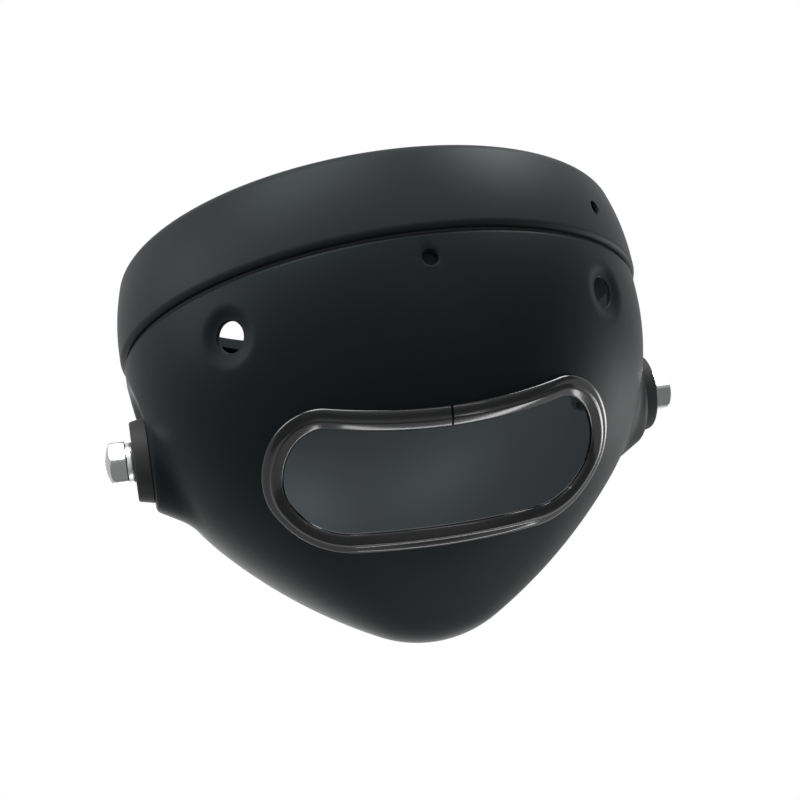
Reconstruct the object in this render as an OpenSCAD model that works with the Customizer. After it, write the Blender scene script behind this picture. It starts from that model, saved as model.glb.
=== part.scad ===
// Round motorcycle headlight housing: a deep pressed bowl with a crowned front ring,
// a kidney-shaped wiring opening with a swept edge trim, and a bolted mount on each side.
// Millimetres. The origin is the centre of the lens opening. The lamp looks along -Y,
// +Z is up on the motorcycle, and the rider's left is +X.

/* [Bowl] */
// Outer radius of the bowl behind the front ring
bowl_r = 93; // [90:0.5:96]
// Radius of the arc that draws in the bowl's side
side_r = 92; // [89:1:98]
// Angle at which the side arc hands over to the flank
side_turn = 42; // [38:1:45]
// Angle at which the flank hands over to the tail
tail_turn = 61; // [58:1:65]
// Radius of the rounded tail
tail_r = 43; // [38:1:47]
// Thickness of the pressed sheet
sheet = 1.2; // [1:0.1:1.6]
// Rounding of the shoulder where the bowl meets the ring
shoulder_r = 1.6; // [1.6:0.1:2.4]
// Length of the neck that the front ring slides over
neck_l = 7; // [5:0.5:9]

/* [Front ring] */
// How far the ring stands out over the bowl
ring_step = 1.2; // [1.2:0.1:3]
// Width of the ring's front, from its widest radius in to the lens opening
front_w = 14.7; // [14.2:0.1:18]
// Distance from the lens opening back to the bowl's shoulder
seam_y = 27; // [25:0.5:30]
// Radius of the long arc across the ring's width
crown_arc = 80; // [65:5:100]
// Rounding of the ring's front edge
front_round = 5.5; // [4.5:0.5:6.5]
// Rounding where the ring's rear edge rolls in
hem_round = 2.2; // [1.8:0.1:2.8]
// Diameter of the beam adjuster hole
adjuster_d = 5; // [4:0.5:6]

/* [Wiring opening] */
// Radius of the bowl where the middle of the wiring opening lies
opening_r = 67.8; // [66:0.2:70.4]
// Distance between the centres of its two front lobes
opening_span = 80.5; // [74:0.5:82]
// Width across the middle of the opening
opening_w = 30.6; // [28:0.2:32]
// How far the lobes stand forward of the middle of the front edge
lobe_out = 6.2; // [4:0.2:8]
// Rounding of the lobes
lobe_r = 13; // [11:0.5:15]
// Rounding of the rear corners
corner_r = 33; // [28:1:36]
// Radius of the rear edge
rear_r = 170; // [140:5:200]
// How far the trim's lips reach over the sheet
lip_l = 4; // [3:0.25:4.5]
// Radius of the trim's bead inside the opening
bead_r = 2.3; // [2:0.1:2.8]

/* [Holes] */
// Diameter of the two ring screw holes
screw_d = 10.7; // [9:0.1:12]
// Diameter of the pressed dimple around each ring screw hole
dimple_d = 18; // [16:0.5:20]
// Depth of the dimple
dimple_h = 1.6; // [1:0.1:2.2]
// Angle of the ring screw holes from the bottom of the bowl
screw_turn = 42; // [38:1:46]
// Diameter of the small pressed pocket at the bottom
pocket_d = 5; // [4:0.5:6]

/* [Side mounts] */
// Distance from the lens opening to the mounting bolts
mount_y = 60.8; // [59:0.2:63]
// How far the flat seats lie in from the bowl's widest radius
seat_in = 4.3; // [3.6:0.1:5]
// Radius of each flat seat
seat_r = 18; // [17:0.5:19]
// Thread diameter of the mounting bolts
bolt_d = 8; // [8:1:10]
// Size across the flats of the bolt heads and nuts
hex_af = 14; // [13:0.5:17]
// Radius of the rubber spacer at the seat
spacer_r = 15; // [13.5:0.5:16]
// Thickness of the rubber spacer
spacer_t = 5.5; // [4:0.5:8]

/* [Hidden] */
$fn = 96;

LEFT = 1;
RIGHT = -1;
paint = "#1d2022";
rubber = "#141516";
plated = "#d8dadc";
zinc = "#9a9c96";
// Lengths of the tools that cut across the whole lamp and through one wall
reach = 300;
through = 24;

// The bowl's half section is three arcs that meet tangentially. Each is [centre r, centre y, radius].
side_y = seam_y + 6;
side_arc = [bowl_r - side_r, side_y, side_r];
side_end_r = side_arc[0] + side_r * cos(side_turn);
flank_r = (side_end_r - tail_r * cos(tail_turn)) / (cos(side_turn) - cos(tail_turn));
flank_arc = [side_end_r - flank_r * cos(side_turn), side_y + (side_r - flank_r) * sin(side_turn), flank_r];
tail_arc = [0, flank_arc[1] + (flank_r - tail_r) * sin(tail_turn), tail_r];

neck_in = 2.6;
neck_r = bowl_r - neck_in;
neck_y = seam_y - neck_l;

// Front ring
ring_r = bowl_r + ring_step;
lens_r = ring_r - front_w;
seam_gap = 0.8;
ring_back = seam_y - seam_gap;
crown_y = seam_y - 6;
crown = [ring_r - crown_arc, crown_y];
crown_turn = 15.5;
front_slope = 22;
lip_t = 1.2;
lip_back = 2.2;
front_c = crown + (crown_arc - front_round) * [cos(crown_turn), -sin(crown_turn)];

neck_fit = 0.15;
hook_w = 18;
hook_leg = 10;
hook_grip = 4.5;
hook_play = 1.5;
weld_gap = 0.05;
seal_w = 1.5;

// Holes and pocket near the bowl's shoulder
screw_y = seam_y + 17;
pocket_y = seam_y + 8.3;
pocket_h = 2.5;
dimple_floor_r = screw_d / 2 + 1.2;
adjuster_y = seam_y - 13;
adjuster_turn = 44;

// Wiring opening
opening_y = y_at(opening_r);
front_edge = opening_y - opening_w / 2;
rear = [0, opening_y + opening_w / 2 - rear_r];
lobe = [opening_span / 2, front_edge - lobe_out + lobe_r];
waist_r = (pow(lobe[0], 2) + pow(lobe_r - lobe_out, 2) - lobe_r * lobe_r) / (2 * lobe_out);
waist = [0, front_edge - waist_r];
corner = between(rear, rear_r - corner_r, lobe, corner_r - lobe_r);
waist_turn = turn_to(lobe - waist);
lobe_turn = turn_to(lobe - corner);
corner_turn = turn_to(corner - rear);
trim_fit = 0.15;
slot_half = sheet / 2 + trim_fit;
lip_half = 1.4;
lip_round = 0.7;
lip_taper = 0.4;
bead_in = 0.6;
bead_from = 72;
bead_steps = 8;
trim_gap = 0.7;

// Side mounts
seat_x = bowl_r - seat_in;
seat_flare = 63;
boss_draft = 30;
boss_root = 30;
washer_t = 2.4;
washer_r = bolt_d / 2 + 3;
head_t = 7.5;
doubler_t = 2;
doubler_r = seat_r - 2.6;
nut_t = 6.5;
washer_x = seat_x + spacer_t;
head_x = washer_x + washer_t;
doubler_x = seat_x - sheet - doubler_t;
bolt_l = 30;
thread_gap = 0.05;
bore_clear = 0.5;

// Points along an arc of a half section. first = 1 leaves out the point that the arc before it ends on.
function arc(centre, r, from, to, steps, first = 0) =
    [for (i = [first:steps]) let (a = from + (to - from) * i / steps) centre + r * [cos(a), sin(a)]];

function arc_at(y) =
    y < side_y + side_r * sin(side_turn) ? side_arc
    : y < flank_arc[1] + flank_r * sin(tail_turn) ? flank_arc
    : tail_arc;
// Radius and lean of the bowl at a distance back, on its outside or on the surface grown by grow.
function radius_at(y, grow = 0) = let (a = arc_at(y), dy = y - a[1]) a[0] + sqrt(pow(a[2] + grow, 2) - dy * dy);
function y_at(r) =
    let (a = r > side_end_r ? side_arc : r > tail_r * cos(tail_turn) ? flank_arc : tail_arc)
    a[1] + sqrt(pow(a[2], 2) - pow(r - a[0], 2));
function lean_at(y, grow = 0) = let (a = arc_at(y)) asin((y - a[1]) / (a[2] + grow));

// Angle of a direction in the plan, from +Y toward +X.
function turn_to(v) = atan2(v[0], v[1]);

// Where two circles cross, on the left seen from the first centre toward the second.
function between(a, ra, b, rb) =
    let (d = norm(b - a), u = (b - a) / d, t = (ra * ra - rb * rb + d * d) / (2 * d))
    a + t * u + sqrt(ra * ra - t * t) * [-u[1], u[0]];

// How much wider a cone gets at its moved end face when its whole surface moves out by grow.
function skew(grow, angle) = grow * (1 / cos(angle) - tan(angle));

// Turns a half section, drawn as [radius, distance back], about the lamp's axis.
module spin() {
    rotate([-90, 0, 0]) rotate_extrude($fn = 180) children();
}

// Stands children on the bowl's outside, +Z outward, at an angle from the bottom and a distance back.
module on_bowl(turn, y) {
    rotate([0, -turn, 0]) translate([0, y, -radius_at(y)]) rotate([180 + lean_at(y), 0, 0]) children();
}

// Lays children along a side mount's bolt axis, +Z outward.
module on_side(side, x = 0) {
    translate([side * x, mount_y, 0]) rotate([0, side * 90, 0]) children();
}

/* The bowl */

// Half section from the shoulder to the tail, grown or shrunk along its normals.
module bowl_section(grow) {
    shoulder = [bowl_r - shoulder_r, seam_y + shoulder_r];
    polygon(concat([[0, seam_y - grow]],
                   arc(shoulder, shoulder_r + grow, -90, 0, 8),
                   arc([side_arc[0], side_arc[1]], side_r + grow, 0, side_turn, 14),
                   arc([flank_arc[0], flank_arc[1]], flank_r + grow, side_turn, tail_turn, 9, 1),
                   arc([0, tail_arc[1]], tail_r + grow, tail_turn, 90, 7, 1)));
}

// Round pad that brings the narrowing bowl out to the flat seat.
module boss(side, grow) {
    top = seat_x + grow;
    at_top = seat_r + skew(grow, boss_draft);
    on_side(side, top - boss_root) cylinder(h = boss_root, r1 = at_top + boss_root * tan(boss_draft), r2 = at_top);
}

// What the press takes off the bowl's bulge in front of the seat.
module seat_cut(side, grow) {
    at_seat = seat_r - skew(grow, seat_flare);
    depth = 12;
    on_side(side, seat_x + grow) cylinder(h = depth, r1 = at_seat, r2 = at_seat + depth * tan(seat_flare));
}

module dimple_cut(turn, grow) {
    flare = 2;
    slope = atan((dimple_d / 2 - dimple_floor_r) / dimple_h);
    at_floor = dimple_floor_r - skew(grow, slope);
    on_bowl(turn, screw_y) translate([0, 0, grow - dimple_h])
        cylinder(h = dimple_h + flare, r1 = at_floor, r2 = at_floor + (dimple_h + flare) * tan(slope));
}

// Blind round pocket pressed into the bottom.
module pocket_cut(grow) {
    clear = 2;
    on_bowl(0, pocket_y) translate([0, 0, grow - pocket_h]) cylinder(h = pocket_h + clear, r = pocket_d / 2 - grow);
}

// The bowl as a solid, grown or shrunk; the sheet is what lies between two of these.
module bowl_solid(grow) {
    difference() {
        union() {
            spin() bowl_section(grow);
            for (side = [LEFT, RIGHT]) boss(side, grow);
        }
        for (side = [LEFT, RIGHT]) seat_cut(side, grow);
        for (turn = [-screw_turn, screw_turn]) dimple_cut(turn, grow);
        pocket_cut(grow);
    }
}

// Points along an arc in the plan, without its last one.
function arc_points(centre, r, from, to, steps) =
    [for (i = [0:steps - 1]) let (a = from + (to - from) * i / steps) centre + r * [sin(a), cos(a)]];

// The kidney-shaped opening seen from below, once round from the middle of its front edge: the waist, a
// lobe and a rear corner on each side, and the rear edge, all tangent. start is the angle it starts at.
function opening_edge(start = 0) =
    let (mirrored = [[-1, 0], [0, 1]])
    concat(arc_points(waist, waist_r, start, waist_turn, 9),
           arc_points(lobe, lobe_r, waist_turn + 180, lobe_turn, 14),
           arc_points(corner, corner_r, lobe_turn, corner_turn, 12),
           arc_points(rear, rear_r, corner_turn, -corner_turn, 10),
           arc_points(mirrored * corner, corner_r, -corner_turn, -lobe_turn, 12),
           arc_points(mirrored * lobe, lobe_r, -lobe_turn, -waist_turn - 180, 14),
           arc_points(waist, waist_r, -waist_turn, -start, 9));

module shell() {
    color(paint) difference() {
        union() {
            bowl_solid(0);
            spin() translate([0, neck_y]) square([neck_r, neck_l + shoulder_r]);
        }
        bowl_solid(-sheet);
        spin() translate([0, neck_y - 1]) square([neck_r - sheet, neck_l + shoulder_r + sheet + 1]);
        translate([0, 0, -reach]) linear_extrude(reach) polygon(opening_edge());
        for (turn = [-screw_turn, screw_turn])
            on_bowl(turn, screw_y) cylinder(h = through, d = screw_d, center = true);
        for (side = [LEFT, RIGHT])
            on_side(side, seat_x) cylinder(h = through, d = bolt_d + 2 * bore_clear, center = true);
    }
}

/* The front ring */

// The ring is one rolled strip: its outer side, the edge at the neck, its inner side, and the lens lip.
module ring_section() {
    hem = [ring_r - hem_round, ring_back - hem_round];
    front_turn = -90 - front_slope;
    neck_hole = neck_r + neck_fit;
    inner_round = front_round - sheet;
    outer_edge = front_c + front_round * [cos(front_turn), sin(front_turn)];
    inner_edge = front_c + inner_round * [cos(front_turn), sin(front_turn)];
    polygon(concat([outer_edge + (outer_edge[0] - lens_r) * [-1, tan(front_slope)]],
                   arc(front_c, front_round, front_turn, -crown_turn, 16),
                   arc(crown, crown_arc, -crown_turn, 0, 7, 1),
                   arc(hem, hem_round, 0, 90, 9),
                   [[neck_hole, ring_back], [neck_hole, ring_back - sheet]],
                   arc(hem, hem_round - sheet, 90, 0, 6),
                   arc(crown, crown_arc - sheet, 0, -crown_turn, 7),
                   arc(front_c, inner_round, -crown_turn, front_turn, 12, 1),
                   [inner_edge + (inner_edge[0] - lens_r - lip_t) * [-1, tan(front_slope)],
                    [lens_r + lip_t, lip_back], [lens_r, lip_back]]));
}

module front_ring() {
    color(paint) difference() {
        spin() ring_section();
        rotate([0, -adjuster_turn, 0]) translate([0, adjuster_y, -ring_r])
            cylinder(h = through, d = adjuster_d, center = true);
    }
}

// Angle on an arc of the crown, of radius r, at a distance back.
function crown_angle(r, y) = -asin((crown_y - y) / r);

// Strip welded inside the top of the ring, which hooks over the neck's front edge.
module ring_hook() {
    tongue_r = neck_r - sheet - neck_fit;
    bend_y = neck_y - hook_play;
    leg_y = bend_y - hook_leg;
    outer = crown_arc - sheet - weld_gap;
    inner = outer - sheet;
    color(zinc) intersection() {
        spin() polygon(concat(arc(crown, outer, crown_angle(outer, bend_y), crown_angle(outer, leg_y), 4),
                              arc(crown, inner, crown_angle(inner, leg_y), crown_angle(inner, bend_y - sheet), 4),
                              [[tongue_r - sheet, bend_y - sheet], [tongue_r - sheet, neck_y + hook_grip],
                               [tongue_r, neck_y + hook_grip], [tongue_r, bend_y]]));
        translate([-hook_w / 2, -reach / 2, 0]) cube([hook_w, reach, reach]);
    }
}

// Flat rubber ring between the ring's rolled edge and the bowl's shoulder.
module rim_seal() {
    color(rubber) spin() translate([neck_r, ring_back]) square([seal_w, seam_gap]);
}

/* The wiring opening's trim */

// The trim's path along the opening, from one side of its butt joint round to the other.
function trim_path() =
    let (split = asin(trim_gap / 2 / waist_r))
    concat(opening_edge(split), [waist + waist_r * [-sin(split), cos(split)]]);

// Outward normal of the bowl's underside at a point seen from below, in the middle of the sheet.
function normal_at(p) =
    let (lean = lean_at(p[1], -sheet / 2), x = p[0] / radius_at(p[1], -sheet / 2))
    [x * cos(lean), sin(lean), -sqrt(1 - x * x) * cos(lean)];

// Middle of the sheet at a point seen from below.
function sheet_at(p) = [p[0], p[1], -sqrt(pow(radius_at(p[1], -sheet / 2), 2) - p[0] * p[0])];

function unit(v) = v / norm(v);

// The opening is cut straight up, so where the bowl leans the sheet's edge reaches further into the trim.
function edge_reach(n, away) = sheet / 2 * abs(away[2] / n[2]) + trim_fit;

// The trim's section as two matching rows of points: its outside, and the slot that grips the sheet.
function trim_outside() =
    concat([[lip_l, lip_half], [lip_l - lip_round, bead_r - lip_taper]],
           [for (i = [0:bead_steps]) let (a = bead_from + (360 - 2 * bead_from) * i / bead_steps)
               [bead_r * cos(a) - bead_in, bead_r * sin(a)]],
           [[lip_l - lip_round, lip_taper - bead_r], [lip_l, -lip_half]]);
function trim_slot() =
    concat([[lip_l, slot_half], [lip_l - lip_round, slot_half]],
           [for (i = [0:bead_steps]) [0, slot_half * (1 - 2 * i / bead_steps)]],
           [[lip_l - lip_round, -slot_half], [lip_l, -slot_half]]);

module opening_trim() {
    path = trim_path();
    middle = [for (p = path) sheet_at(p)];
    last = len(path) - 1;
    outside = trim_outside();
    slot = trim_slot();
    half = len(outside);
    ring = 2 * half;
    section = concat(outside, [for (j = [half - 1:-1:0]) slot[j]]);
    points = [for (i = [0:last])
        let (n = normal_at(path[i]),
             along = unit(middle[min(i + 1, last)] - middle[max(i - 1, 0)]),
             away = unit(cross(n, along)))
        for (s = section) middle[i] + (s[0] - edge_reach(n, away)) * away + s[1] * n];
    walls = [for (i = [0:last - 1], j = [0:ring - 1])
        let (a = i * ring + j, b = i * ring + (j + 1) % ring, c = a + ring, d = b + ring)
        each [[a, b, d], [a, d, c]]];
    start_cap = [for (j = [0:half - 2])
        let (a = j, b = j + 1, c = ring - 2 - j, d = ring - 1 - j) each [[a, c, b], [a, d, c]]];
    end_cap = [for (f = start_cap) [f[0], f[2], f[1]] + last * ring * [1, 1, 1]];
    color(rubber) polyhedron(points = points, faces = concat(walls, start_cap, end_cap));
}

/* The side mounts, from the rubber spacer outward and then inward */

module bolt_hole() {
    cylinder(h = through, d = bolt_d + bore_clear, center = true);
}

module spacer(side) {
    edge = 0.6;
    draft = 0.2;
    rim = spacer_r - draft * (spacer_t - edge);
    color(rubber) on_side(side, seat_x) difference() {
        union() {
            cylinder(h = spacer_t - edge, r1 = spacer_r, r2 = rim);
            translate([0, 0, spacer_t - edge]) cylinder(h = edge, r1 = rim, r2 = rim - edge);
        }
        bolt_hole();
    }
}

module spring_washer(side) {
    slit = 1.1;
    slant = 35;
    slit_turn = 75;
    color(plated) on_side(side, washer_x) difference() {
        cylinder(h = washer_t, r = washer_r);
        bolt_hole();
        rotate([0, 0, slit_turn]) translate([washer_r, 0, washer_t / 2]) rotate([slant, 0, 0])
            cube([2 * washer_r, slit, through], center = true);
    }
}

module mount_bolt(side, turn) {
    dome_r = hex_af;
    tip = 1.2;
    taper = 0.8;
    shank_r = bolt_d / 2 - thread_gap;
    color(plated) on_side(side, head_x) {
        intersection() {
            rotate([0, 0, turn]) cylinder(h = head_t, r = hex_af / sqrt(3), $fn = 6);
            translate([0, 0, head_t - dome_r]) sphere(r = dome_r);
        }
        translate([0, 0, tip - bolt_l]) cylinder(h = bolt_l - tip, r = shank_r);
        translate([0, 0, -bolt_l]) cylinder(h = tip, r1 = shank_r - taper, r2 = shank_r);
    }
}

module doubler(side) {
    color(zinc) on_side(side, doubler_x) difference() {
        cylinder(h = doubler_t, r = doubler_r);
        bolt_hole();
    }
}

module weld_nut(side) {
    color(zinc) on_side(side, doubler_x - nut_t) difference() {
        cylinder(h = nut_t, r = hex_af / sqrt(3), $fn = 6);
        cylinder(h = through, d = bolt_d, center = true);
    }
}

shell();
front_ring();
ring_hook();
rim_seal();
opening_trim();
spacer(LEFT);  // spacer_left
spacer(RIGHT);  // spacer_right
spring_washer(LEFT);  // spring_washer_left
spring_washer(RIGHT);  // spring_washer_right
mount_bolt(LEFT, 10);  // mount_bolt_left
mount_bolt(RIGHT, -4);  // mount_bolt_right
doubler(LEFT);  // doubler_left
doubler(RIGHT);  // doubler_right
weld_nut(LEFT);  // weld_nut_left
weld_nut(RIGHT);  // weld_nut_right
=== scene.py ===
import math

import bmesh
import bpy
import numpy as np
from mathutils import Matrix, Vector


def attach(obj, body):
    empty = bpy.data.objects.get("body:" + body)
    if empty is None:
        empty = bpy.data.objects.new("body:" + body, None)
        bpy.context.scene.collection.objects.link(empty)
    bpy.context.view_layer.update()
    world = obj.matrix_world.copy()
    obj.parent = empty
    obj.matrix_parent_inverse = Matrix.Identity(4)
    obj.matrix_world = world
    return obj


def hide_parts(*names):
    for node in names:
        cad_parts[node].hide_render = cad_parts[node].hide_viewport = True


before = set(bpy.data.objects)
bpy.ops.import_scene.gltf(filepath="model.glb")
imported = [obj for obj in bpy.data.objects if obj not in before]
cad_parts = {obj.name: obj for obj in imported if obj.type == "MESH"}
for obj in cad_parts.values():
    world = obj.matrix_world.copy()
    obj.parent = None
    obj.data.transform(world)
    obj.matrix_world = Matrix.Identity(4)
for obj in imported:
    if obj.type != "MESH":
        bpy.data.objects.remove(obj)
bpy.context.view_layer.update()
MM = 0.001

# The studio. The lamp hangs at its height on the motorcycle, 0.8 m over a pale floor, and the camera
# looks up at its underside from behind, as the photograph does. Broad soft lamps stand all round it.
scene = bpy.context.scene
scene.view_settings.view_transform = "Standard"

CAMERA_AT = Vector((-95.93, 183.69, -457.45)) * MM
CAMERA_RIGHT = Vector((0.9706, 0.1839, -0.1553))
CAMERA_UP = Vector((0.1308, -0.9445, -0.3012))
CAMERA_BACK = CAMERA_RIGHT.cross(CAMERA_UP)
camera = bpy.data.objects.new("camera", bpy.data.cameras.new("camera"))
camera.data.sensor_width = 36
camera.data.lens = 60.466
camera.data.clip_start = 0.01
camera.matrix_world = Matrix.Translation(CAMERA_AT) @ Matrix(
    (CAMERA_RIGHT, CAMERA_UP, CAMERA_BACK)).transposed().to_4x4()
scene.collection.objects.link(camera)
scene.camera = camera


class Socket:
    """A value in a material. Python's own arithmetic on it adds Math nodes."""

    def __init__(self, tree, link):
        self.tree, self.link = tree, link

    def math(self, operation, *values):
        return node(self.tree, "ShaderNodeMath", {"operation": operation}, dict(enumerate(values)))

    def __add__(self, other):
        return self.math("ADD", self, other)

    def __mul__(self, other):
        return self.math("MULTIPLY", self, other)

    __radd__ = __add__
    __rmul__ = __mul__


def node(tree, kind, settings=None, inputs=None, output=0):
    """A new node with its settings and the values or links of its sockets. It gives one of its outputs."""
    made = tree.nodes.new(kind)
    for name, value in (settings or {}).items():
        setattr(made, name, value)
    for name, value in (inputs or {}).items():
        if isinstance(value, Socket):
            tree.links.new(value.link, made.inputs[name])
        else:
            made.inputs[name].default_value = value
    return Socket(tree, made.outputs[output] if made.outputs else None)


# The room is white to the camera and in reflections, and lights the lamp at half that strength.
world = bpy.data.worlds.new("studio")
scene.world = world
world.use_nodes = True
sky = world.node_tree
sky.nodes.clear()
path = node(sky, "ShaderNodeLightPath").link.node
RAYS = ("Is Camera Ray", "Is Glossy Ray", "Is Transmission Ray")
camera_ray, glossy_ray, through_ray = (Socket(sky, path.outputs[name]) for name in RAYS)
ROOM_LIGHT = 0.5
white = node(sky, "ShaderNodeBackground", inputs={"Color": (1, 1, 1, 1), "Strength": 1.0})
room = node(sky, "ShaderNodeBackground", inputs={"Color": (0.95, 0.98, 1, 1), "Strength": ROOM_LIGHT})
shown = camera_ray.math("MINIMUM", camera_ray + glossy_ray + through_ray, 1.0)
node(sky, "ShaderNodeOutputWorld", inputs={"Surface": node(
    sky, "ShaderNodeMixShader", inputs={0: shown, 1: room, 2: white})})

# Each lamp faces the middle of the bowl.
AIM = Vector((0, 0.05, 0))


def softbox(name, place, size, watts):
    """A rectangular lamp with its place and size in metres."""
    lamp = bpy.data.lights.new(name, "AREA")
    lamp.shape = "RECTANGLE"
    lamp.size, lamp.size_y = size
    lamp.energy = watts
    holder = bpy.data.objects.new(name, lamp)
    holder.location = place
    holder.rotation_euler = (AIM - holder.location).to_track_quat("-Z", "Y").to_euler()
    scene.collection.objects.link(holder)


softbox("lamp_tail", Vector((0.18, 0.93, 0.16)), (1.2, 0.09), 3.8)
softbox("lamp_right_side", Vector((-0.85, -0.3, -0.15)), (0.3, 0.6), 5.5)
softbox("lamp_left_side", Vector((0.85, 0.25, 0.28)), (0.3, 0.4), 2.8)
softbox("lamp_front", Vector((-0.35, -0.75, -0.5)), (0.8, 0.4), 19)
softbox("lamp_front_left", Vector((0.6, -0.7, -0.3)), (0.35, 0.5), 12)
softbox("lamp_below", Vector((0.15, -0.05, -0.75)), (0.7, 0.03), 0.7)
softbox("lamp_top", Vector((0.0, 0.1, 1.0)), (0.8, 0.8), 4)

FLOOR_Z, FLOOR_HALF = -0.8, 4.0
corners = [(x * FLOOR_HALF, y * FLOOR_HALF, FLOOR_Z) for x, y in ((-1, -1), (1, -1), (1, 1), (-1, 1))]
floor_mesh = bpy.data.meshes.new("floor")
floor_mesh.from_pydata(corners, [], [(0, 1, 2, 3)])
floor = bpy.data.objects.new("floor", floor_mesh)
scene.collection.objects.link(floor)


def material(name):
    """A material with an empty Principled shader: its node tree, and the inputs of its shader."""
    made = bpy.data.materials.new(name)
    made.use_nodes = True
    return made, made.node_tree, made.node_tree.nodes["Principled BSDF"].inputs


floor_paint, tree, shader = material("floor_paint")
shader["Base Color"].default_value = (0.60, 0.60, 0.59, 1)
shader["Roughness"].default_value = 0.9
floor_mesh.materials.append(floor_paint)

# The bowl is one steel pressing, painted black inside and out. Its half section is three tangent arcs
# behind a rounded shoulder, and a thinner neck stands in front of it, which the front ring slides over.
LEFT, RIGHT = 1, -1
BOWL_R, SIDE_R, TAIL_R = 93.0, 92.0, 43.0
SHEET, SHOULDER_R = 1.2, 1.6
SEAM_Y, NECK_Y, NECK_R = 27.0, 20.0, 90.4
SIDE_TURN, TAIL_TURN = math.radians(42), math.radians(61)
WIDEST_FROM_SEAM = 6.0
SIDE_Y = SEAM_Y + WIDEST_FROM_SEAM
side_end = BOWL_R - SIDE_R + SIDE_R * math.cos(SIDE_TURN)
FLANK_R = (side_end - TAIL_R * math.cos(TAIL_TURN)) / (math.cos(SIDE_TURN) - math.cos(TAIL_TURN))
flank_y = SIDE_Y + (SIDE_R - FLANK_R) * math.sin(SIDE_TURN)
# Each arc has its centre, as a distance from the axis and a distance back, and its radius.
ARCS = [(BOWL_R - SIDE_R, SIDE_Y, SIDE_R),
        (side_end - FLANK_R * math.cos(SIDE_TURN), flank_y, FLANK_R),
        (0.0, flank_y + (FLANK_R - TAIL_R) * math.sin(TAIL_TURN), TAIL_R)]


def arc(centre, radius, start, end, count):
    """Points [radius, distance back] along an arc of a half section."""
    turn = np.linspace(start, end, count)
    return np.stack([centre[0] + radius * np.cos(turn), centre[1] + radius * np.sin(turn)], 1)


def bowl_line(grow, steps):
    """The bowl's half section from the seam to the tail, moved along its normals."""
    shoulder = (BOWL_R - SHOULDER_R, SEAM_Y + SHOULDER_R)
    parts = [arc(shoulder, SHOULDER_R + grow, -math.pi / 2, 0, 7)]
    turns = [0, SIDE_TURN, TAIL_TURN, math.pi / 2]
    for centre, start, end, count in zip(ARCS, turns, turns[1:], steps):
        parts.append(arc(centre[:2], centre[2] + grow, start, end, count)[1 if start else 0:])
    return np.concatenate(parts)


def smooth_least(a, b, width):
    """The lesser of two distances, rounded over a width where they cross."""
    mix = np.clip(0.5 + 0.5 * (b - a) / width, 0, 1)
    return b + (a - b) * mix - width * mix * (1 - mix)


SEAT_X, SEAT_R, MOUNT_Y, BOSS_ROOT = 88.7, 18.0, 60.8, 30.0
BOSS_DRAFT, SEAT_FLARE = math.radians(30), math.radians(63)
# The boss is made higher than the seat by BOSS_SPARE, so cutting the seat takes off its rounded top.
BOSS_SPARE, BOSS_BLEND, SEAT_ROUND = 3.0, 2.2, 0.9
SCREW_TURN, SCREW_Y, SCREW_D = math.radians(42), 44.0, 10.7
DIMPLE_D, DIMPLE_H, DIMPLE_ROUND = 18.0, 1.6, 0.8
DIMPLE_FLOOR_R = SCREW_D / 2 + 1.2
PRESS_BLEND = 1.6
POCKET_Y, POCKET_R, POCKET_H = 35.3, 2.5, 2.5
FAR, JOIN = 1e9, 1e-4


def radius_at(y, grow=0.0):
    """Radius and lean of the bowl at a distance back, on its outside or on the surface grown by grow."""
    y = np.asarray(y, float)
    out, lean = np.zeros_like(y), np.zeros_like(y)
    limits = [SIDE_Y + SIDE_R * math.sin(SIDE_TURN), flank_y + FLANK_R * math.sin(TAIL_TURN), FAR]
    low = -FAR
    for (cr, cy, big), high in zip(ARCS, limits):
        here = (y >= low) & (y < high)
        dy = np.clip(y - cy, -big - grow, big + grow)
        out = np.where(here, cr + np.sqrt((big + grow) ** 2 - dy * dy), out)
        lean = np.where(here, np.arcsin(dy / (big + grow)), lean)
        low = high
    return out, lean


def on_bowl(turn, y):
    """A point on the bowl's outside and its normal, at an angle from the bottom and a distance back."""
    r, lean = radius_at(y)
    out = np.array([math.sin(turn) * math.cos(lean), math.sin(lean), -math.cos(turn) * math.cos(lean)])
    return np.array([math.sin(turn) * r, y, -math.cos(turn) * r]), out


def height_over_cone(p, at, axis, base_r, slope):
    """Distance outside a cone that narrows along its axis: base_r is its radius at its place."""
    along = (p - at) @ axis
    across = np.linalg.norm((p - at) - along[..., None] * axis, axis=-1)
    return (across - base_r + along * math.tan(slope)) * math.cos(slope), along


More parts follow.
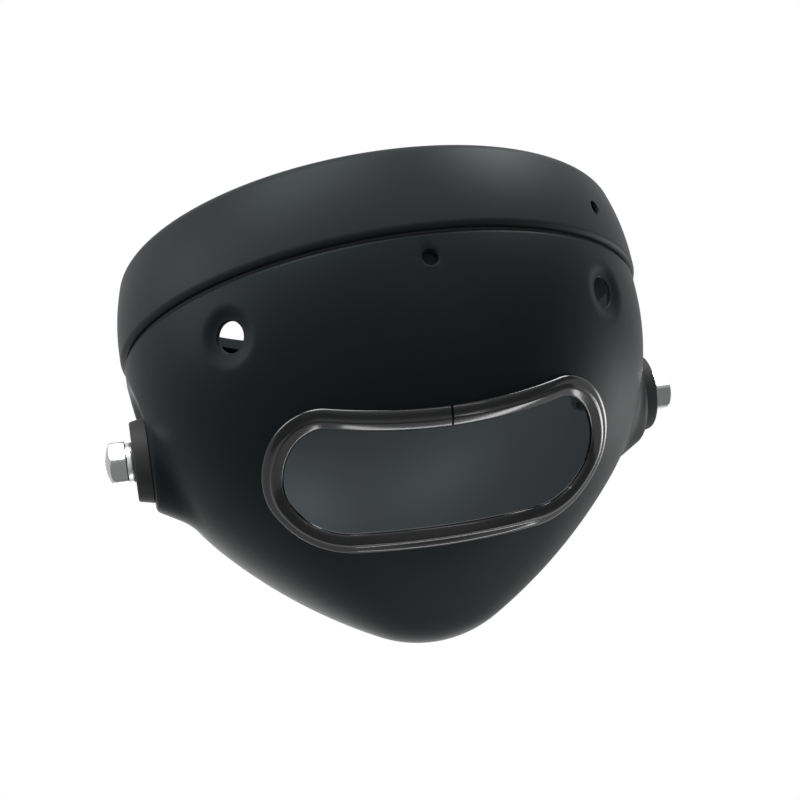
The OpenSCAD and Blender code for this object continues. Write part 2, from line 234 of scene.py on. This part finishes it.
def bowl_field(p):
    """Distance outside the pressed bowl: its revolve, a boss and a flat for each seat, and two dimples."""
    r = np.hypot(p[..., 0], p[..., 2])
    bowl = np.full(r.shape, FAR)
    # The first and the last arc's sectors reach beyond the bowl's ends, and neighbours overlap a little.
    edges = [-1.0, SIDE_TURN, TAIL_TURN, 2.0]
    for (cr, cy, big), start, end in zip(ARCS, edges, edges[1:]):
        turn = np.arctan2(p[..., 1] - cy, r - cr)
        here = (turn > start - JOIN) & (turn < end + JOIN)
        bowl = np.where(here, np.minimum(bowl, np.hypot(r - cr, p[..., 1] - cy) - big), bowl)
    for side in (LEFT, RIGHT):
        axis = np.array([side, 0.0, 0.0])
        at = np.array([side * SEAT_X, MOUNT_Y, 0.0])
        wall, along = height_over_cone(p, at, axis, SEAT_R, BOSS_DRAFT)
        boss = np.maximum(-smooth_least(-wall, BOSS_SPARE - along, SEAT_ROUND), -along - BOSS_ROOT)
        bowl = smooth_least(bowl, boss, BOSS_BLEND)
        flare, along = height_over_cone(p, at, axis, SEAT_R, -SEAT_FLARE)
        bowl = -smooth_least(-bowl, -smooth_least(-flare, along, SEAT_ROUND), PRESS_BLEND)
    slope = math.atan((DIMPLE_D / 2 - DIMPLE_FLOOR_R) / DIMPLE_H)
    for turn in (-SCREW_TURN, SCREW_TURN):
        at, out = on_bowl(turn, SCREW_Y)
        wall, along = height_over_cone(p, at - DIMPLE_H * out, out, DIMPLE_FLOOR_R, -slope)
        bowl = -smooth_least(-bowl, -smooth_least(-wall, along, DIMPLE_ROUND), PRESS_BLEND)
    return bowl


REACH_IN, REACH_OUT, HALVINGS = -9.0, 14.0, 26


def settle(p, out, distance):
    """Moves points along their normals until they lie at a distance from the pressed bowl."""
    low, high = np.full(p.shape[:-1], REACH_IN), np.full(p.shape[:-1], REACH_OUT)
    for _ in range(HALVINGS):
        middle = (low + high) / 2
        beyond = bowl_field(p + middle[..., None] * out) > distance
        low, high = np.where(beyond, low, middle), np.where(beyond, middle, high)
    return p + middle[..., None] * out


def turned(outline, turns):
    """Rows of points of a half section [radius, distance back] turned about the lamp's axis."""
    r, y = outline[:, 0:1], outline[:, 1:2]
    return np.stack([r * np.sin(turns), y + 0 * turns, -r * np.cos(turns)], -1)


MERGE, SPECK = 1e-7, 1e-8


def shape(name, rows, look=None, closed=False, sharp=35, replaces=()):
    """A closed piece from rows of points, each row a loop. Its ends are capped unless the rows loop too."""
    count, around = rows.shape[:2]
    index = np.arange(count * around).reshape(count, around)
    below, above = (index, np.roll(index, -1, 0)) if closed else (index[:-1], index[1:])
    quads = np.stack([below, np.roll(below, -1, 1), np.roll(above, -1, 1), above], -1).reshape(-1, 4)
    ends = [] if closed else [index[0, ::-1].tolist(), index[-1].tolist()]
    mesh = bpy.data.meshes.new(name)
    mesh.from_pydata((rows.reshape(-1, 3) * MM).tolist(), [], quads.tolist() + ends)
    work = bmesh.new()
    work.from_mesh(mesh)
    bmesh.ops.remove_doubles(work, verts=work.verts, dist=MERGE)
    bmesh.ops.dissolve_degenerate(work, dist=SPECK, edges=work.edges)
    bmesh.ops.recalc_face_normals(work, faces=work.faces)
    work.to_mesh(mesh)
    work.free()
    piece = bpy.data.objects.new(name, mesh)
    scene.collection.objects.link(piece)
    dress(piece, look, sharp)
    if replaces:
        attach(piece, "root")
        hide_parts(*replaces)
    return piece


def dress(piece, look, sharp=35):
    """Gives a piece its material, and smooth shading that breaks at its sharp edges."""
    piece.data.materials.clear()
    if look:
        piece.data.materials.append(look)
    piece.data.shade_smooth()
    piece.data.set_sharp_from_angle(angle=math.radians(sharp))


DRILL_TOP, DRILL_FLARE, DRILL_EDGE = 1.6, 0.6, math.radians(110)
ASLANT = [0.3, 0.8, 0.52]


def drill(at, out, r, edge=0.3, depth=8.0):
    """A cutter for a round hole whose outer edge is slightly rounded."""
    at, out = np.asarray(at, float), np.asarray(out, float)
    side = np.cross(out, ASLANT)
    side /= np.linalg.norm(side)
    up = np.cross(out, side)
    rim = arc((r + edge, -edge), edge, math.pi, DRILL_EDGE, 5)
    top = [[rim[-1, 0] + DRILL_FLARE, DRILL_TOP], [0, DRILL_TOP]]
    line = np.concatenate([[[0, -depth], [r, -depth]], rim, top])
    turn = np.linspace(0, 2 * math.pi, 72, endpoint=False)[:, None]
    ring = np.cos(turn) * side + np.sin(turn) * up
    return shape("drill", at + line[:, 0, None, None] * ring + line[:, 1, None, None] * out)


def cut(piece, tools, look, added=()):
    """Adds solids to a piece, then cuts tools out of it."""
    tools = [*added, *tools]
    for tool in tools:
        change = piece.modifiers.new("cut", "BOOLEAN")
        change.operation = "UNION" if tool in added else "DIFFERENCE"
        change.solver = "MANIFOLD"
        change.object = tool
    whole = piece.evaluated_get(bpy.context.evaluated_depsgraph_get())
    mesh = bpy.data.meshes.new_from_object(whole)
    piece.modifiers.clear()
    piece.data = mesh
    for tool in tools:
        bpy.data.objects.remove(tool)
    dress(piece, look)


def noise(tree, scale, detail=2.0, roughness=0.5, stretch=None):
    """Noise in the piece's own coordinates; scale is in features a metre."""
    place = node(tree, "ShaderNodeTexCoord", output=3)
    if stretch:
        place = node(tree, "ShaderNodeMapping", inputs={"Vector": place, "Scale": stretch})
    return node(tree, "ShaderNodeTexNoise", inputs={
        "Vector": place, "Scale": scale, "Detail": detail, "Roughness": roughness})


def bump(tree, height, distance, strength):
    """A normal that follows a height, over a distance in metres."""
    return node(tree, "ShaderNodeBump", inputs={
        "Height": height, "Distance": distance, "Strength": strength})


def blend(tree, factor, first, second):
    """A colour between two colours."""
    return node(tree, "ShaderNodeMix", {"data_type": "RGBA"}, {
        "Factor": factor, 6: (*first, 1), 7: (*second, 1)}, 2)


def black_paint(name, dark, light):
    """Satin black powder coat: an even film with a faint orange peel and soft clouds in its gloss."""
    paint, tree, shader = material(name)
    cloud = noise(tree, 26, 3)
    grain = noise(tree, 2600, 2)
    peel = noise(tree, 520, 2)
    tree.links.new(blend(tree, cloud, dark, light).link, shader["Base Color"])
    tree.links.new((0.42 + cloud * 0.06 + grain * 0.04).link, shader["Roughness"])
    tree.links.new(bump(tree, peel * 0.7 + grain * 0.3, 0.00002, 0.3).link, shader["Normal"])
    shader["Specular IOR Level"].default_value = 1.0
    shader["IOR"].default_value = 1.1
    shader["Specular Tint"].default_value = (0.78, 0.97, 1.0, 1)
    return paint


# Inside, where the surface faces the middle of the bowl, its colour is made much lighter and greyer. This
# is painted light, standing in for the light that reaches the inner wall through the lens opening.
BOWL_MIDDLE, INSIDE_PAINTED_LIGHT = (0, 0.06, 0), (0.017, 0.019, 0.021, 1)
bowl_paint = black_paint("bowl_paint", (0.0028, 0.0035, 0.0042), (0.0040, 0.0047, 0.0054))
tree = bowl_paint.node_tree
shader = tree.nodes["Principled BSDF"].inputs
outside = Socket(tree, shader["Base Color"].links[0].from_socket)
from_middle = node(tree, "ShaderNodeVectorMath", {"operation": "SUBTRACT"}, {
    0: node(tree, "ShaderNodeTexCoord", output=3), 1: BOWL_MIDDLE})
facing = node(tree, "ShaderNodeVectorMath", {"operation": "DOT_PRODUCT"}, {
    0: from_middle, 1: node(tree, "ShaderNodeTexCoord", output=1)}, 1)
# The lighter colour on the inside faces is painted light, not a different coat.
inside_painted_light = node(tree, "ShaderNodeMix", {"data_type": "RGBA"}, {
    "Factor": facing.math("LESS_THAN", facing, 0.0), 6: outside, 7: INSIDE_PAINTED_LIGHT}, 2)
tree.links.new(inside_painted_light.link, shader["Base Color"])

# The mesh is finer round the seats and the dimples. Angles count from the bottom, in degrees here.
FINE_PARTS = [(-111, -69), (-50, -32), (32, 50), (69, 111)]
FINE_STEP, COARSE_STEP = 0.6, 2.0
turns, turn = [], -180.0
while turn < 179.99:
    turns.append(math.radians(turn))
    turn += FINE_STEP if any(low <= turn < high for low, high in FINE_PARTS) else COARSE_STEP
turns = np.array(turns)
STEPS = (82, 22, 12)
outer, inner = bowl_line(0, STEPS), bowl_line(-SHEET, STEPS)
NECK_ROUND = 0.2
neck_in = NECK_R - SHEET
neck = np.array([[NECK_R, SEAM_Y], [NECK_R, NECK_Y + NECK_ROUND], [NECK_R - NECK_ROUND, NECK_Y],
                 [neck_in + NECK_ROUND, NECK_Y], [neck_in, NECK_Y + NECK_ROUND], [neck_in, SEAM_Y + SHEET]])
sides = []
for line, distance in ((outer, 0.0), (inner, -SHEET)):
    rows = turned(line, turns)
    pressed = line[:, 1] > SIDE_Y
    _, lean = radius_at(line[pressed, 1])
    for _ in range(3):
        _, lean = radius_at(line[pressed, 1] - distance * np.sin(lean))
    lean = lean[:, None]
    out = np.stack([np.sin(turns) * np.cos(lean), np.sin(lean) + 0 * turns,
                    -np.cos(turns) * np.cos(lean)], -1)
    rows[pressed] = settle(rows[pressed], out, distance)
    rows[-1] = rows[-1].mean(0)
    sides.append(rows)
rows = np.concatenate([sides[0][::-1], turned(neck, turns), sides[1]])
shell = shape("bowl", rows, bowl_paint, replaces=["shell"])

# The wiring opening is a kidney: a waist in front, two lobes, two wider corners and a slightly curved rear.
OPENING_R, OPENING_SPAN, OPENING_W, LOBE_OUT = 67.8, 80.5, 30.6, 6.2
LOBE_R, CORNER_R, REAR_R = 13.0, 33.0, 170.0
OPENING_Y = ARCS[1][1] + math.sqrt(FLANK_R ** 2 - (OPENING_R - ARCS[1][0]) ** 2)


def kidney(gap):
    """The opening's outline seen from below, once round from the middle of its front edge.
    There it stays open by the gap on each side."""
    front = OPENING_Y - OPENING_W / 2
    lobe = np.array([OPENING_SPAN / 2, front - LOBE_OUT + LOBE_R])
    waist_r = (lobe[0] ** 2 + (LOBE_R - LOBE_OUT) ** 2 - LOBE_R ** 2) / (2 * LOBE_OUT)
    waist, rear = np.array([0, front - waist_r]), np.array([0, OPENING_Y + OPENING_W / 2 - REAR_R])
    a, b, apart = CORNER_R - LOBE_R, REAR_R - CORNER_R, np.linalg.norm(lobe - rear)
    way = (lobe - rear) / apart
    along = (b * b - a * a + apart * apart) / (2 * apart)
    corner = rear + along * way + math.sqrt(b * b - along * along) * np.array([-way[1], way[0]])
    split = gap / waist_r
    t1, t2, t3 = (math.atan2(*v) for v in (lobe - waist, lobe - corner, corner - rear))
    flip = np.array([-1, 1])
    runs = [(waist, waist_r, split, t1, 36),
            (lobe, LOBE_R, t1 + math.pi, t2, 52),
            (corner, CORNER_R, t2, t3, 32),
            (rear, REAR_R, t3, -t3, 48),
            (corner * flip, CORNER_R, -t3, -t2, 32),
            (lobe * flip, LOBE_R, -t2, -t1 - math.pi, 52),
            (waist, waist_r, -t1, -split, 36)]
    points = []
    for centre, r, start, stop, count in runs:
        turn = np.linspace(start, stop, count + 1)[:-1]
        points.append(centre + r * np.stack([np.sin(turn), np.cos(turn)], 1))
    last = waist + waist_r * np.array([math.sin(-split), math.cos(split)])
    return np.concatenate(points + ([[last]] if gap else []))


# A column cuts the opening. The pocket is a cup added inside the sheet and then drilled, like the holes.
COLUMN_ENDS = (-100.0, -5.0)
HOLE_EDGE, BOLT_HOLE_R, CUP_DOWN = 0.5, 4.5, 2.2
SCREW_HOLE_R = SCREW_D / 2 - 0.35
plan = kidney(0)
column = shape("column", np.stack([np.insert(plan, 2, z, 1) for z in COLUMN_ENDS]))
at, out = on_bowl(0, POCKET_Y)
cup = drill(at - CUP_DOWN * out, out, POCKET_R + SHEET, depth=POCKET_H + SHEET - CUP_DOWN)
drills = [column, drill(at, out, POCKET_R, HOLE_EDGE, POCKET_H)]
for turn in (-SCREW_TURN, SCREW_TURN):
    at, out = on_bowl(turn, SCREW_Y)
    drills.append(drill(at - DIMPLE_H * out, out, SCREW_HOLE_R, HOLE_EDGE))
for side in (LEFT, RIGHT):
    drills.append(drill((side * SEAT_X, MOUNT_Y, 0), (side, 0, 0), BOLT_HOLE_R))
cut(shell, drills, bowl_paint, added=[cup])

# The front ring is one rolled strip of steel, painted like the bowl, but its colour is made about three
# times lighter as painted light. Its crowned side ends in a rolled edge behind and in the lip of the lens
# opening in front, and its side has a hole for the beam's screw.
RING_R, LENS_R, RING_BACK, RING_SHEET = 94.2, 79.5, 26.2, 1.2
CROWN, CROWN_ARC, CROWN_TURN = np.array([14.2, 21.0]), 80.0, math.radians(15.5)
FRONT_ROUND, FRONT_SLOPE, HEM_ROUND, LIP_BACK = 5.5, math.radians(22), 2.2, 2.2
LIP_ROUND, LIP_RISE, EDGE, RING_GAP = 0.5, 0.36, 0.2, 0.15
ADJUSTER_TURN, ADJUSTER_Y, ADJUSTER_R = math.radians(44), 14.0, 2.5
front_turn = -math.pi / 2 - FRONT_SLOPE
front_c = CROWN + (CROWN_ARC - FRONT_ROUND) * np.array([math.cos(CROWN_TURN), -math.sin(CROWN_TURN)])
forward = np.array([math.cos(front_turn), math.sin(front_turn)])
inward = np.array([-1, math.tan(FRONT_SLOPE)])
outer_edge = front_c + FRONT_ROUND * forward
inner_edge = front_c + (FRONT_ROUND - RING_SHEET) * forward
hem = np.array([RING_R - HEM_ROUND, RING_BACK - HEM_ROUND])
hem_r = NECK_R + RING_GAP
lip = outer_edge + (outer_edge[0] - LENS_R) * inward
lip_in = LENS_R + RING_SHEET
section = np.concatenate([
    arc((LENS_R + LIP_ROUND, lip[1] + LIP_RISE), LIP_ROUND, math.pi, math.radians(248), 6),
    arc(front_c, FRONT_ROUND, front_turn, -CROWN_TURN, 20),
    arc(CROWN, CROWN_ARC, -CROWN_TURN, 0, 16)[1:],
    arc(hem, HEM_ROUND, 0, math.pi / 2, 12),
    [[hem_r + EDGE, RING_BACK], [hem_r, RING_BACK - EDGE],
     [hem_r, RING_BACK - RING_SHEET + EDGE], [hem_r + EDGE, RING_BACK - RING_SHEET]],
    arc(hem, HEM_ROUND - RING_SHEET, math.pi / 2, 0, 7),
    arc(CROWN, CROWN_ARC - RING_SHEET, 0, -CROWN_TURN, 12),
    arc(front_c, FRONT_ROUND - RING_SHEET, -CROWN_TURN, front_turn, 12)[1:],
    [inner_edge + (inner_edge[0] - lip_in) * inward, [lip_in, LIP_BACK - EDGE],
     [lip_in - EDGE, LIP_BACK], [LENS_R + EDGE, LIP_BACK], [LENS_R, LIP_BACK - EDGE]]])
# The ring's paint is the bowl's black made lighter: painted light.
ring_paint = black_paint("ring_paint", (0.0080, 0.0088, 0.0096), (0.0100, 0.0108, 0.0116))
rows = turned(section, np.linspace(0, 2 * math.pi, 420, endpoint=False))
ring = shape("ring", rows, ring_paint, closed=True, replaces=["front_ring"])
across = np.array([math.sin(ADJUSTER_TURN), 0, -math.cos(ADJUSTER_TURN)])
adjuster_r = CROWN[0] + math.sqrt(CROWN_ARC ** 2 - (CROWN[1] - ADJUSTER_Y) ** 2)
cut(ring, [drill(adjuster_r * across + [0, ADJUSTER_Y, 0], across, ADJUSTER_R)], ring_paint)


# The hook is a bent strip of zinc-plated steel, welded inside the top of the ring. It holds the ring on the
# neck, and a flat rubber ring fills the seam between the ring's rolled edge and the bowl's shoulder.
def plated_steel(name, dark, light, roughness):
    """Zinc-plated steel: a dull metal with cloudy crystals, faint rolling lines and darker stains."""
    steel, tree, shader = material(name)
    stain = noise(tree, 90, 4, 0.6)
    crystals = noise(tree, 900, 3, 0.7)
    rolling = noise(tree, 240, 2, 0.5, (1, 12, 1))
    tree.links.new(blend(tree, stain * 0.7 + crystals * 0.3, dark, light).link, shader["Base Color"])
    tree.links.new((roughness + stain * 0.12 + rolling * 0.10).link, shader["Roughness"])
    tree.links.new(bump(tree, rolling * 0.6 + crystals * 0.4, 0.00001, 0.2).link, shader["Normal"])
    shader["Metallic"].default_value = 1.0
    return steel


def matt_rubber(name, dark, light, roughness):
    """Moulded black rubber: a dry matt skin with a fine grain and a little pale bloom."""
    rubber, tree, shader = material(name)
    bloom = noise(tree, 140, 4, 0.6)
    grain = noise(tree, 3200, 2)
    tree.links.new(blend(tree, bloom, dark, light).link, shader["Base Color"])
    tree.links.new((roughness + bloom * 0.10).link, shader["Roughness"])
    tree.links.new(bump(tree, grain, 0.00004, 0.4).link, shader["Normal"])
    shader["Specular IOR Level"].default_value = 0.12
    return rubber


zinc_sheet = plated_steel("zinc_sheet", (0.30, 0.30, 0.28), (0.46, 0.46, 0.44), 0.30)
seal_rubber = matt_rubber("seal_rubber", (0.006, 0.006, 0.006), (0.012, 0.012, 0.012), 0.62)
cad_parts["ring_hook"].data.materials[0] = zinc_sheet
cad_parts["rim_seal"].data.materials[0] = seal_rubber

# The opening's edge is covered with a glossy black vinyl channel with a round bead. It grips the sheet, and
# its two ends meet in a butt joint in the middle of the front edge.
HALF_JOINT, BEAD_IN, TIP_R, TRIM_GAP = 0.35, 0.6, 1.15, 0.15
GRIP = SHEET / 2 + TRIM_GAP
plan = kidney(HALF_JOINT)
mid_r, lean = radius_at(plan[:, 1], -SHEET / 2)
flat = plan[:, 0] / mid_r
normal = np.stack([flat * np.cos(lean), np.sin(lean), -np.sqrt(1 - flat ** 2) * np.cos(lean)], 1)
middle = np.stack([plan[:, 0], plan[:, 1], -np.sqrt(mid_r ** 2 - plan[:, 0] ** 2)], 1)
along = np.gradient(middle, axis=0)
away = np.cross(normal, along)
away /= np.linalg.norm(away, axis=1)[:, None]
# Points of the trim's section: how far they lie out of the opening, and how high over the sheet's middle.
upper = np.array([[3.3, GRIP], [3.85, 0.8], [4.0, 1.0], [4.0, 1.2], [3.86, 1.5], [3.6, 1.74], [3.2, 1.9],
                  [2.5, 1.92], [1.6, 1.8], [1.0, 1.74], [0.6, 1.9]])
shoulder = [[0.3, 2.08], [0.0, 2.1], [-0.4, 1.94], [-1.0, 1.66], [-1.6, 1.37], [-2.15, 1.09]]
tip = arc((-BEAD_IN - TIP_R, 0.0), TIP_R, math.radians(125), math.radians(180), 7)
bead = np.concatenate([shoulder, tip])
mirror = [1, -1]
slot = [[0.2, -GRIP], [0, -0.5], [0, 0.5]]
outline = np.concatenate([[[0.2, GRIP]], upper, bead, bead[-2::-1] * mirror, upper[::-1] * mirror, slot])
reach = SHEET / 2 * np.abs(away[:, 2] / normal[:, 2]) + TRIM_GAP
rows = (middle[:, None] + (outline[:, 0] - reach[:, None])[..., None] * away[:, None]
        + outline[:, 1, None] * normal[:, None])
trim_vinyl, tree, shader = material("trim_vinyl")
cloud = noise(tree, 60, 3)
drag = noise(tree, 700, 2)
vinyl = blend(tree, cloud, (0.002, 0.002, 0.0023), (0.0035, 0.0035, 0.004))
tree.links.new(vinyl.link, shader["Base Color"])
tree.links.new((0.09 + cloud * 0.05 + drag * 0.03).link, shader["Roughness"])
tree.links.new(bump(tree, drag, 0.00002, 0.2).link, shader["Normal"])
shader["Specular IOR Level"].default_value = 0.40
shape("trim", rows, trim_vinyl, replaces=["opening_trim"])

# A round rubber spacer stands on each seat and keeps the fork ear off the paint. It is moulded, with a
# slightly tapered side and a rounded outer edge.
SPACER_R, SPACER_T, BORE_R = 15.0, 5.5, 4.25


def about_bolt(side, x, outline, turn):
    """Rows of points [radius, height] about a side mount's axis, whose height counts outward from x."""
    if outline.ndim == 2:
        outline = outline[:, None]
    r, high = outline[..., 0] + 0 * turn, outline[..., 1] + 0 * turn
    return np.stack([side * (x + high), MOUNT_Y + r * np.sin(turn), -side * r * np.cos(turn)], -1)


FULL = np.linspace(0, 2 * math.pi, 96, endpoint=False)
spacer_rubber = matt_rubber("spacer_rubber", (0.009, 0.009, 0.010), (0.020, 0.020, 0.021), 0.55)
FOOT_EDGE, BORE_EDGE, RUBBER_ROUND = 0.3, 0.4, 0.9
TAPER, HALF_TAPER, HALF_TAPER_H = 1.0, 0.55, 2.6
round_at = (SPACER_R - TAPER - RUBBER_ROUND, SPACER_T - RUBBER_ROUND)
spacer_line = np.concatenate([
    [[BORE_R, FOOT_EDGE], [BORE_R + FOOT_EDGE, 0], [SPACER_R - FOOT_EDGE, 0], [SPACER_R, FOOT_EDGE]],
    [[SPACER_R - HALF_TAPER, HALF_TAPER_H]],
    arc(round_at, RUBBER_ROUND, math.radians(12), math.pi / 2, 7),
    [[BORE_R + BORE_EDGE, SPACER_T], [BORE_R, SPACER_T - BORE_EDGE]]])
SIDES = ((LEFT, "left"), (RIGHT, "right"))
for side, name in SIDES:
    rows = about_bolt(side, SEAT_X, spacer_line, FULL)
    shape("spacer_" + name + "_rubber", rows, spacer_rubber,
          closed=True, replaces=["spacer_" + name])

# A split spring washer lies between the spacer and the bolt's head: a square steel wire bent round,
# plated, with its ends cut at a slant.
WASHER_T, WASHER_R, WIRE_ROUND, WIRE_BEVEL = 2.4, 7.0, 0.3, 0.09
SLIT, SLANT, SLIT_TURN = 1.1, math.radians(35), math.radians(75)
washer_x = SEAT_X + SPACER_T
mean_r = (WASHER_R + BORE_R) / 2
wire_w = WASHER_R - BORE_R
corner = np.array([[0, WIRE_ROUND], [WIRE_BEVEL, WIRE_BEVEL], [WIRE_ROUND, 0]])
wire = np.concatenate([
    corner,
    ([wire_w, 0] + corner * [-1, 1])[::-1],
    [wire_w, WASHER_T] - corner,
    ([0, WASHER_T] + corner * [1, -1])[::-1]]) + [BORE_R, 0]
half_slit = SLIT / math.cos(SLANT) / 2 / mean_r
washer_steel = plated_steel("washer_steel", (0.48, 0.49, 0.49), (0.60, 0.61, 0.61), 0.14)
turn = SLIT_TURN + np.linspace(half_slit, 2 * math.pi - half_slit, 90)[:, None]
turn = turn - (wire[:, 1] - WASHER_T / 2) * math.tan(SLANT) / mean_r
for side, name in SIDES:
    rows = about_bolt(side, washer_x, np.broadcast_to(wire, (*turn.shape, 2)), turn)
    shape("washer_" + name, rows, washer_steel, replaces=["spring_washer_" + name])

# The bolt is a chrome-plated hexagon bolt with a domed head. Its thread runs through the seat and the
# doubler into the weld nut inside the bowl.
HEX, HEAD_T, BOLT_L, SHANK_R = 14.0, 7.5, 30.0, 3.95
PITCH, THREAD_H, THREAD_FROM, THREAD_TO, RUN_OUT = 1.25, 0.62, -1.6, 1.4, 1.0
STEEPNESS, CREST = 1.35, 0.12
DOME_R = HEX
FACE_R, UNDERHEAD_R = 6.6, 4.4
head_x = washer_x + WASHER_T


def hexagon(turn, first):
    """Radius of a hexagon bar with slightly rounded corners, at an angle."""
    off = np.mod(turn - first, math.pi / 3) - math.pi / 6
    return smooth_least(HEX / 2 / np.cos(off), HEX / math.sqrt(3) - 0.1, 0.3)


bolt_chrome, tree, shader = material("bolt_chrome")
haze = noise(tree, 160, 4, 0.6)
scratch = noise(tree, 1500, 2, 0.5, (1, 1, 8))
tree.links.new(blend(tree, haze, (0.33, 0.34, 0.34), (0.44, 0.45, 0.45)).link, shader["Base Color"])
tree.links.new((0.10 + haze * 0.12 + scratch * 0.05).link, shader["Roughness"])
tree.links.new(bump(tree, scratch, 0.00001, 0.3).link, shader["Normal"])
shader["Metallic"].default_value = 1.0
around = np.linspace(0, 2 * math.pi, 120, endpoint=False)
# The rows run from the middle of the domed top over the flats and the underside down the thread.
for side, name, first in ((LEFT, "left", math.radians(10)), (RIGHT, "right", math.radians(-4))):
    flats = hexagon(around, first)
    rows = []
    for part in (0.02, 0.25, 0.5, 0.7, 0.82, 0.9, 0.95, 0.985):
        r = part * flats
        rows.append(np.stack([r, np.sqrt(DOME_R ** 2 - r * r) + HEAD_T - DOME_R], 1))
    edge = np.sqrt(DOME_R ** 2 - flats ** 2) + HEAD_T - DOME_R
    for inset, down in ((0.04, 0.12), (0.0, 0.3), (0.0, 0.9)):
        rows.append(np.stack([flats - inset, edge - down], 1))
    for inset, high in ((0.0, 0.5), (0.0, 0.25), (0.08, 0.08), (0.25, 0.0)):
        rows.append(np.stack([flats - inset, high + 0 * flats], 1))
    for r, high in ((FACE_R, 0.0), (UNDERHEAD_R, 0.0), (SHANK_R, -0.3)):
        rows.append(np.stack([r + 0 * flats, high + 0 * flats], 1))
    for high in np.arange(THREAD_FROM, THREAD_TO - BOLT_L, -PITCH / 8):
        wave = np.abs(np.mod(high / PITCH - side * around / (2 * math.pi), 1) * 2 - 1)
        groove = np.clip(wave * STEEPNESS - CREST, 0, 1)
        depth = THREAD_H * groove * min(1.0, (THREAD_FROM - high) / RUN_OUT)
        rows.append(np.stack([SHANK_R - depth, high + 0 * flats], 1))
    for r, high in ((3.3, 1.0 - BOLT_L), (3.05, 0.12 - BOLT_L), (2.9, -BOLT_L)):
        rows.append(np.stack([r + 0 * flats, high + 0 * flats], 1))
    rows = about_bolt(side, head_x, np.stack(rows), around)
    shape("bolt_" + name, rows, bolt_chrome, sharp=25, replaces=["mount_bolt_" + name])

# Inside the bowl a zinc-plated disc is welded behind each seat, and a hexagon nut is welded to the disc.
# The nut's bore is plain here, round the bolt's thread.
nut_steel = plated_steel("nut_steel", (0.36, 0.36, 0.34), (0.52, 0.52, 0.50), 0.26)
DOUBLER_T, NUT_T, NUT_FACE_R, NUT_EDGE_R = 2.0, 6.5, 6.4, 6.6
NUT_BORE_R, NUT_BEVEL = 4.0, 0.6
nut_x = SEAT_X - SHEET - DOUBLER_T - NUT_T
mouth_r = NUT_BORE_R + NUT_BEVEL
flats = hexagon(around, 0.0)
cone = np.clip((flats - NUT_EDGE_R) * math.tan(math.radians(30)), 0, None)
nut_line = [(NUT_BORE_R, NUT_BEVEL), (mouth_r, 0.0), (NUT_FACE_R, 0.0), (flats, cone), (flats, NUT_T / 2),
            (flats, NUT_T - cone), (NUT_FACE_R, NUT_T), (mouth_r, NUT_T), (NUT_BORE_R, NUT_T - NUT_BEVEL)]
nut_rows = np.stack([np.stack([r + 0 * flats, high + 0 * flats], 1) for r, high in nut_line])
for side, name in SIDES:
    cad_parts["doubler_" + name].data.materials[0] = zinc_sheet
    rows = about_bolt(side, nut_x, nut_rows, around)
    shape("nut_" + name, rows, nut_steel,
          closed=True, sharp=25, replaces=["weld_nut_" + name])
